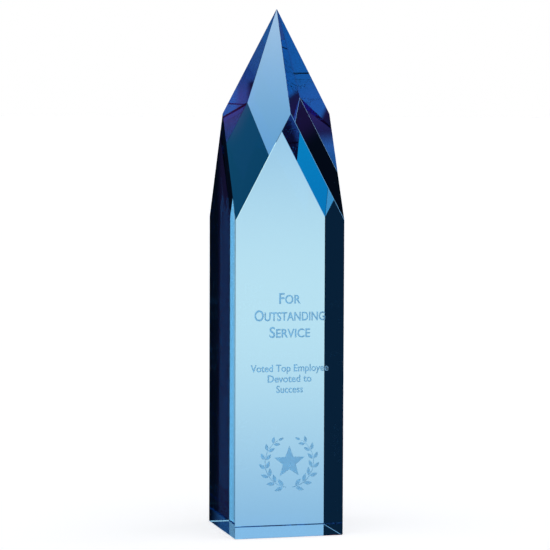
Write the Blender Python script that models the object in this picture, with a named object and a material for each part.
"""A crystal award: a square tower of blue glass whose top is ground to a point by four corner facets.

The front face carries shallow sand-carved pockets. Each pocket holds one etched zone: six lines of
an inscription, and an emblem of a star between two laurel branches.
Units are metres, +Z is up, the front faces -Y, and the origin is the centre of the base.
"""

import math

import bmesh
import bpy
from mathutils import Vector

# The glass block.
WIDTH = 0.0508
HEIGHT = 0.240
SHOULDER_HEIGHT = 0.6 * HEIGHT
EDGE_CHAMFER = 0.0001
FOOT_CHAMFER = 0.0003
FRONT_Y = -WIDTH / 2

# The etched zones. Each lies in its pocket, flush with the front face.
POCKET_DEPTH = 0.0005
POCKET_CLEARANCE = 0.0001
ZONE_THICKNESS = POCKET_DEPTH - POCKET_CLEARANCE
CUT_MARGIN = 0.001

# The inscription: height of each line's middle above the base, line length and line height.
HEADING_LINE_HEIGHT = 0.0048
CITATION_LINE_HEIGHT = 0.0032
INSCRIPTION = {
    "etched_heading_top": (0.1089, 0.0100, HEADING_LINE_HEIGHT),
    "etched_heading_middle": (0.1012, 0.0330, HEADING_LINE_HEIGHT),
    "etched_heading_bottom": (0.0936, 0.0190, HEADING_LINE_HEIGHT),
    "etched_citation_top": (0.0773, 0.0364, CITATION_LINE_HEIGHT),
    "etched_citation_middle": (0.0725, 0.0205, CITATION_LINE_HEIGHT),
    "etched_citation_bottom": (0.0677, 0.0125, CITATION_LINE_HEIGHT),
}
CORNER_STEPS = 4

# The emblem: a five-pointed star between two laurel branches that nearly meet at the bottom.
# Along a branch, the reach is a stem's share all the way and a leaf's share that swells and shrinks.
EMBLEM_HEIGHT = 0.0343
STAR_POINTS = 5
STAR_RADIUS = 0.0075
STAR_WAIST = 0.42
STAR_TIP_MARGIN = 3
LAUREL_RADIUS = 0.0114
LAUREL_LEAF_REACH = 0.0022
LAUREL_LEAVES = 7
LAUREL_START = math.radians(-84)
LAUREL_END = math.radians(68)
LAUREL_TAPER = 1.3
STEM_SHARE = 0.3
LEAF_SHARE = 0.7
LEAF_ROUNDNESS = 0.7
STEPS_PER_LEAF = 6


def remove_all_objects():
    for old in list(bpy.data.objects):
        bpy.data.objects.remove(old, do_unlink=True)


def new_collection(name):
    collection = bpy.data.collections.new(name)
    bpy.context.scene.collection.children.link(collection)
    return collection


def new_material(name, color, roughness, transmission):
    material = bpy.data.materials.new(name)
    material.use_nodes = True
    shader = material.node_tree.nodes["Principled BSDF"]
    shader.inputs["Base Color"].default_value = (*color, 1.0)
    shader.inputs["Roughness"].default_value = roughness
    shader.inputs["Metallic"].default_value = 0.0
    shader.inputs["Transmission Weight"].default_value = transmission
    shader.inputs["IOR"].default_value = 1.52
    return material


def add_object(name, mesh, collection, material=None):
    obj = bpy.data.objects.new(name, mesh)
    collection.objects.link(obj)
    if material is not None:
        mesh.materials.append(material)
    return obj


def corner_facet_normal(side_x, side_y):
    """Outward normal of the plane through the apex and the shoulder of the corner on these sides."""
    reach = math.hypot(WIDTH / 2, WIDTH / 2)
    drop = HEIGHT - SHOULDER_HEIGHT
    outwards = Vector((side_x, side_y, 0)).normalized()
    return (outwards * drop + Vector((0, 0, reach))).normalized()


def make_block_mesh():
    """A square bar, pointed by four planes that each take off one corner from shoulder to apex.

    Neighbouring planes meet halfway along each side, so every side ends in a gable. The foot has a
    bevel all round, and every edge is eased with a narrow chamfer, as ground glass is.
    """
    bm = bmesh.new()
    bmesh.ops.create_cube(bm, size=1.0)
    bmesh.ops.scale(bm, vec=(WIDTH, WIDTH, HEIGHT), verts=bm.verts)
    bmesh.ops.translate(bm, vec=(0, 0, HEIGHT / 2), verts=bm.verts)
    for side_x in (-1, 1):
        for side_y in (-1, 1):
            cut = bmesh.ops.bisect_plane(
                bm,
                geom=list(bm.verts) + list(bm.edges) + list(bm.faces),
                plane_co=(0, 0, HEIGHT),
                plane_no=corner_facet_normal(side_x, side_y),
                clear_outer=True,
            )
            rim = [part for part in cut["geom_cut"] if isinstance(part, bmesh.types.BMEdge)]
            bmesh.ops.edgeloop_fill(bm, edges=rim)
    bmesh.ops.remove_doubles(bm, verts=bm.verts, dist=1e-6)
    foot = [edge for edge in bm.edges if all(vert.co.z < EDGE_CHAMFER for vert in edge.verts)]
    bmesh.ops.bevel(bm, geom=foot, offset=FOOT_CHAMFER, segments=1, affect="EDGES")
    bmesh.ops.bevel(bm, geom=list(bm.edges), offset=EDGE_CHAMFER, segments=1, affect="EDGES")
    bmesh.ops.recalc_face_normals(bm, faces=bm.faces)
    mesh = bpy.data.meshes.new("crystal_tower")
    bm.to_mesh(mesh)
    bm.free()
    return mesh


def bar_outline(length, height, margin):
    """A bar with round corners, as points in its own plane."""
    half_length = length / 2 + margin
    half_height = height / 2 + margin
    radius = half_height / 2
    points = []
    for quarter, (side_x, side_z) in enumerate(((1, 1), (-1, 1), (-1, -1), (1, -1))):
        for step in range(CORNER_STEPS + 1):
            angle = math.radians(90) * (quarter + step / CORNER_STEPS)
            x = side_x * (half_length - radius) + radius * math.cos(angle)
            z = side_z * (half_height - radius) + radius * math.sin(angle)
            points.append((x, z))
    return points


def star_outline(margin):
    """A five-pointed star with one point up. Its sharp tips grow by more, for an even gap at its sides."""
    points = []
    for corner in range(2 * STAR_POINTS):
        is_tip = corner % 2 == 0
        radius = STAR_RADIUS if is_tip else STAR_RADIUS * STAR_WAIST
        angle = math.radians(90) + math.pi * corner / STAR_POINTS
        reach = radius + (STAR_TIP_MARGIN if is_tip else 1) * margin
        points.append((reach * math.cos(angle), reach * math.sin(angle)))
    return points


def laurel_outline(side, margin):
    """One laurel branch: a band round part of a circle, with leaves along both of its edges."""
    steps = LAUREL_LEAVES * STEPS_PER_LEAF
    outer = []
    inner = []
    overrun = margin / LAUREL_RADIUS
    for step in range(steps + 1):
        share = step / steps
        angle = LAUREL_START - overrun + (LAUREL_END - LAUREL_START + 2 * overrun) * share
        leaf = abs(math.sin(math.pi * LAUREL_LEAVES * share)) ** LEAF_ROUNDNESS
        taper = min(1.0, LAUREL_TAPER * (1 - share) + STEM_SHARE)
        reach = LAUREL_LEAF_REACH * taper * (STEM_SHARE + LEAF_SHARE * leaf) + margin
        outer.append((angle, LAUREL_RADIUS + reach))
        inner.append((angle, LAUREL_RADIUS - reach))
    band = outer + inner[::-1]
    return [(side * radius * math.cos(angle), radius * math.sin(angle)) for angle, radius in band]


def plate_mesh(name, outline, thickness):
    """A flat plate of this outline: a filled 2D curve, extruded, then made a mesh with closed caps."""
    curve = bpy.data.curves.new(name, "CURVE")
    curve.dimensions = "2D"
    curve.fill_mode = "BOTH"
    curve.extrude = thickness / 2
    spline = curve.splines.new("POLY")
    spline.points.add(len(outline) - 1)
    for point, (x, z) in zip(spline.points, outline):
        point.co = (x, z, 0, 1)
    spline.use_cyclic_u = True
    holder = bpy.data.objects.new(name + "_outline", curve)
    bpy.context.scene.collection.objects.link(holder)
    evaluated = holder.evaluated_get(bpy.context.evaluated_depsgraph_get())
    mesh = bpy.data.meshes.new_from_object(evaluated)
    bpy.data.objects.remove(holder, do_unlink=True)
    bpy.data.curves.remove(curve)
    bm = bmesh.new()
    bm.from_mesh(mesh)
    bmesh.ops.remove_doubles(bm, verts=bm.verts, dist=1e-6)
    bmesh.ops.recalc_face_normals(bm, faces=bm.faces)
    bm.to_mesh(mesh)
    bm.free()
    mesh.name = name
    return mesh


def stand_in_front_face(obj, height, front, back):
    """Turns a plate upright in the front face, between two depths behind that face."""
    obj.rotation_euler = (math.radians(90), 0, 0)
    obj.location = (0, FRONT_Y + (front + back) / 2, height)


def add_etched_zone(name, outline, height, parts, material):
    zone = add_object(name, plate_mesh(name, outline, ZONE_THICKNESS), parts, material)
    stand_in_front_face(zone, height, 0, ZONE_THICKNESS)


def add_pocket_cutter(name, outline, height, cutters):
    thickness = POCKET_DEPTH + CUT_MARGIN
    cutter = add_object(name + "_pocket", plate_mesh(name + "_pocket", outline, thickness), cutters)
    stand_in_front_face(cutter, height, -CUT_MARGIN, POCKET_DEPTH)
    cutter.hide_render = True
    cutter.display_type = "WIRE"


def etched_outlines(margin):
    """Every etched zone's outline, grown by the margin, with the height of its middle."""
    zones = {
        name: (bar_outline(length, line_height, margin), height)
        for name, (height, length, line_height) in INSCRIPTION.items()
    }
    zones["etched_star"] = (star_outline(margin), EMBLEM_HEIGHT)
    zones["etched_laurel_right"] = (laurel_outline(1, margin), EMBLEM_HEIGHT)
    zones["etched_laurel_left"] = (laurel_outline(-1, margin), EMBLEM_HEIGHT)
    return zones


def main():
    remove_all_objects()
    parts = new_collection("crystal_award")
    cutters = new_collection("crystal_award_cutters")
    blue_crystal = new_material("blue_crystal", (0.36, 0.70, 0.92), 0.0, 1.0)
    frosted_glass = new_material("frosted_glass", (0.72, 0.86, 0.94), 0.6, 0.5)

    tower = add_object("crystal_tower", make_block_mesh(), parts, blue_crystal)
    for name, (outline, height) in etched_outlines(0).items():
        add_etched_zone(name, outline, height, parts, frosted_glass)
    for name, (outline, height) in etched_outlines(POCKET_CLEARANCE).items():
        add_pocket_cutter(name, outline, height, cutters)

    pockets = tower.modifiers.new("etched_pockets", "BOOLEAN")
    pockets.operation = "DIFFERENCE"
    pockets.operand_type = "COLLECTION"
    pockets.collection = cutters


main()
